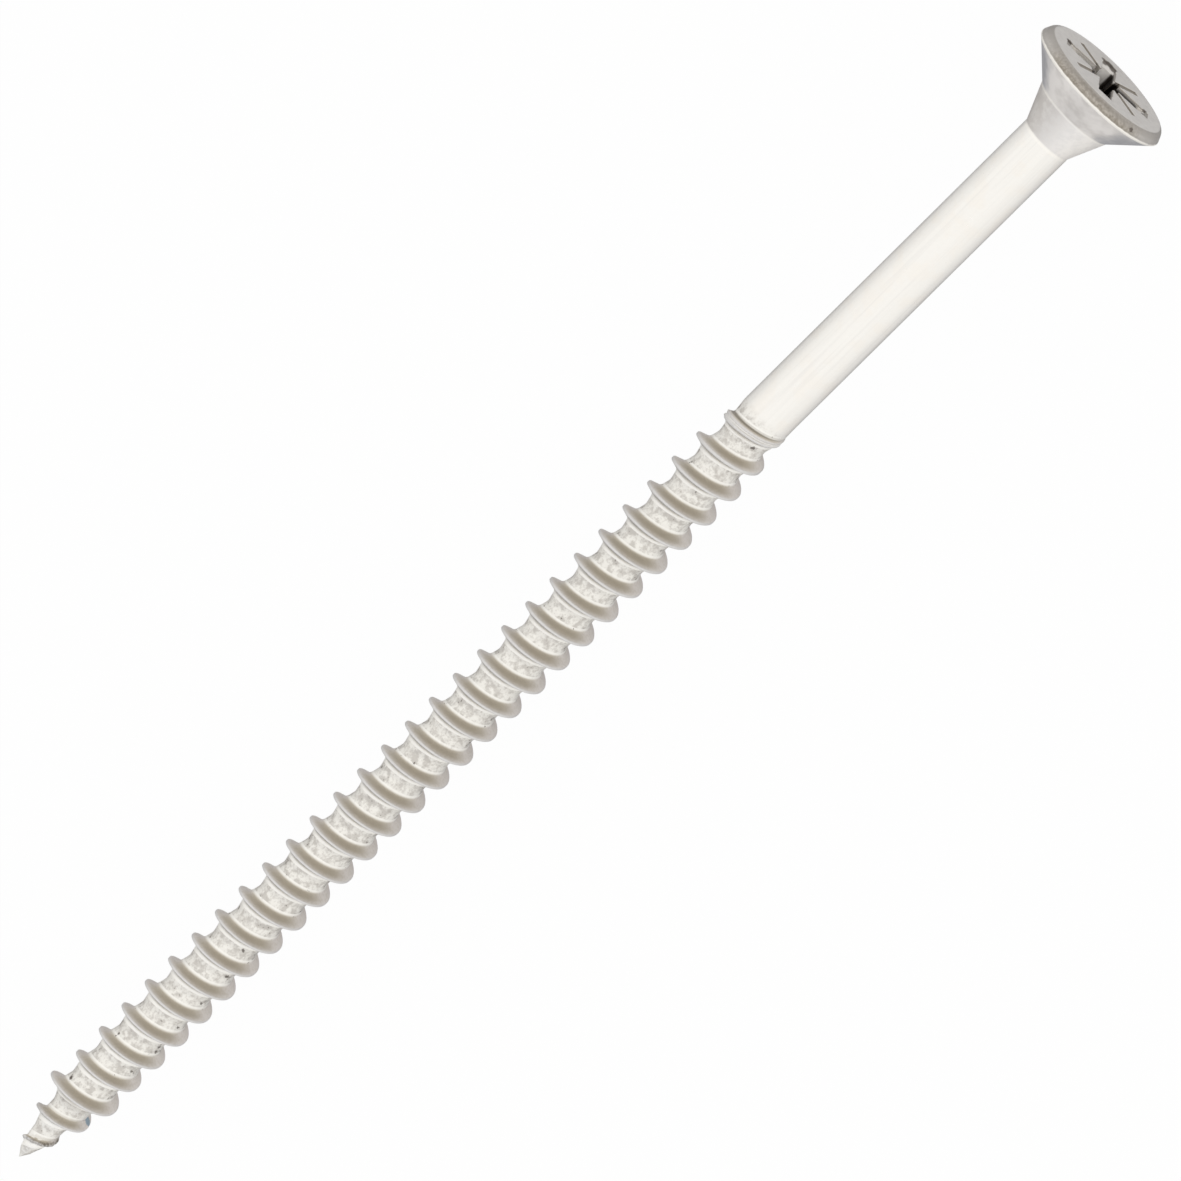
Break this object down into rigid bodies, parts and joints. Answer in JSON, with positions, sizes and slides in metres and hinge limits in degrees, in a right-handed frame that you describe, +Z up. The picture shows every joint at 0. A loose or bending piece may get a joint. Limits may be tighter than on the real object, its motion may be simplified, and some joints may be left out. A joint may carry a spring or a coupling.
{
  "type": "countersunk wood screw",
  "caption": "Partly threaded steel wood screw with a countersunk head, a strengthened neck, a cross recess, a coarse right-hand thread and a sharp point.",
  "frame": {"origin": "centre of the underside of the screw's box as it lies on a bench", "axes": "+X from the point to the head, +Z up from the bench; the screw's own axis rises 1.6 degrees towards the head"},
  "size_m": [0.1, 0.0098, 0.0098],
  "materials": {
    "stainless_steel": "plain rolled stainless steel, satin on the shank, dull and mottled in the thread"
  },
  "bodies": {
    "root": {"wood_screw": "stainless_steel"}
  },
  "joints": []
}
